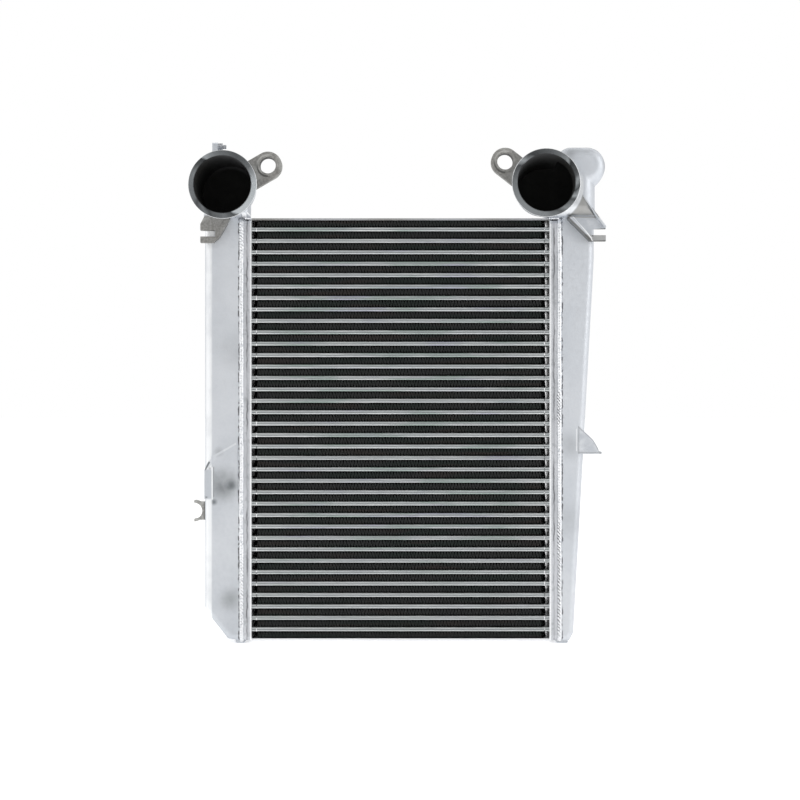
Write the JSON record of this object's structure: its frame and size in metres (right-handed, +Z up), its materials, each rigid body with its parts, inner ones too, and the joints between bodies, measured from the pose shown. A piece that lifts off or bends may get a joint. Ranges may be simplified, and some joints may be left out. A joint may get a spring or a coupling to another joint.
{
  "type": "charge air cooler",
  "caption": "Upright charge air cooler: flat tube and fin core between two cast side tanks, each with a forward-facing round air port, eye lugs and slotted brackets.",
  "frame": {"origin": "middle of the overall box, on the floor under the two feet", "axes": "+Z up, air ports face -Y, X across the core from the left tank to the right tank"},
  "size_m": [0.6155, 0.1282, 0.7395],
  "materials": {
    "cast_tank": "bead-blasted casting",
    "rough_casting": "rough sand casting",
    "header_plate": "brazed sheet",
    "tube": "brazed, satin",
    "fins": "dark corrugated sheet",
    "side_plate": "folded sheet, satin",
    "weld": "bright rippled weld",
    "foot": "as cast",
    "steel_fastener": "zinc plated"
  },
  "bodies": {
    "root": {"bottom_side_plate": "side_plate", "fin_packs": "fins", "flange_nut": "steel_fastener", "left_eye_lug": "rough_casting", "left_foot": "foot", "left_fork_bracket": "rough_casting", "left_header": "header_plate", "left_tank": "cast_tank", "left_weld_bead": "weld", "pipe_saddle": "rough_casting", "right_eye_lug": "rough_casting", "right_foot": "foot", "right_fork_bracket": "cast_tank", "right_header": "header_plate", "right_tank": "cast_tank", "right_weld_bead": "weld", "shelf_bracket": "cast_tank", "stud": "steel_fastener", "stud_lug": "cast_tank", "top_side_plate": "side_plate", "tube_01": "tube", "tube_02": "tube", "tube_03": "tube", "tube_04": "tube", "tube_05": "tube", "tube_06": "tube", "tube_07": "tube", "tube_08": "tube", "tube_09": "tube", "tube_10": "tube", "tube_11": "tube", "tube_12": "tube", "tube_13": "tube", "tube_14": "tube", "tube_15": "tube", "tube_16": "tube", "tube_17": "tube", "tube_18": "tube", "tube_19": "tube", "tube_20": "tube", "tube_21": "tube", "tube_22": "tube", "tube_23": "tube", "tube_24": "tube", "tube_25": "tube", "tube_26": "tube", "tube_27": "tube", "tube_28": "tube", "tube_29": "tube", "tube_30": "tube", "tube_31": "tube", "tube_32": "tube", "tube_33": "tube", "tube_34": "tube", "tube_35": "tube", "tube_36": "tube"}
  },
  "joints": []
}
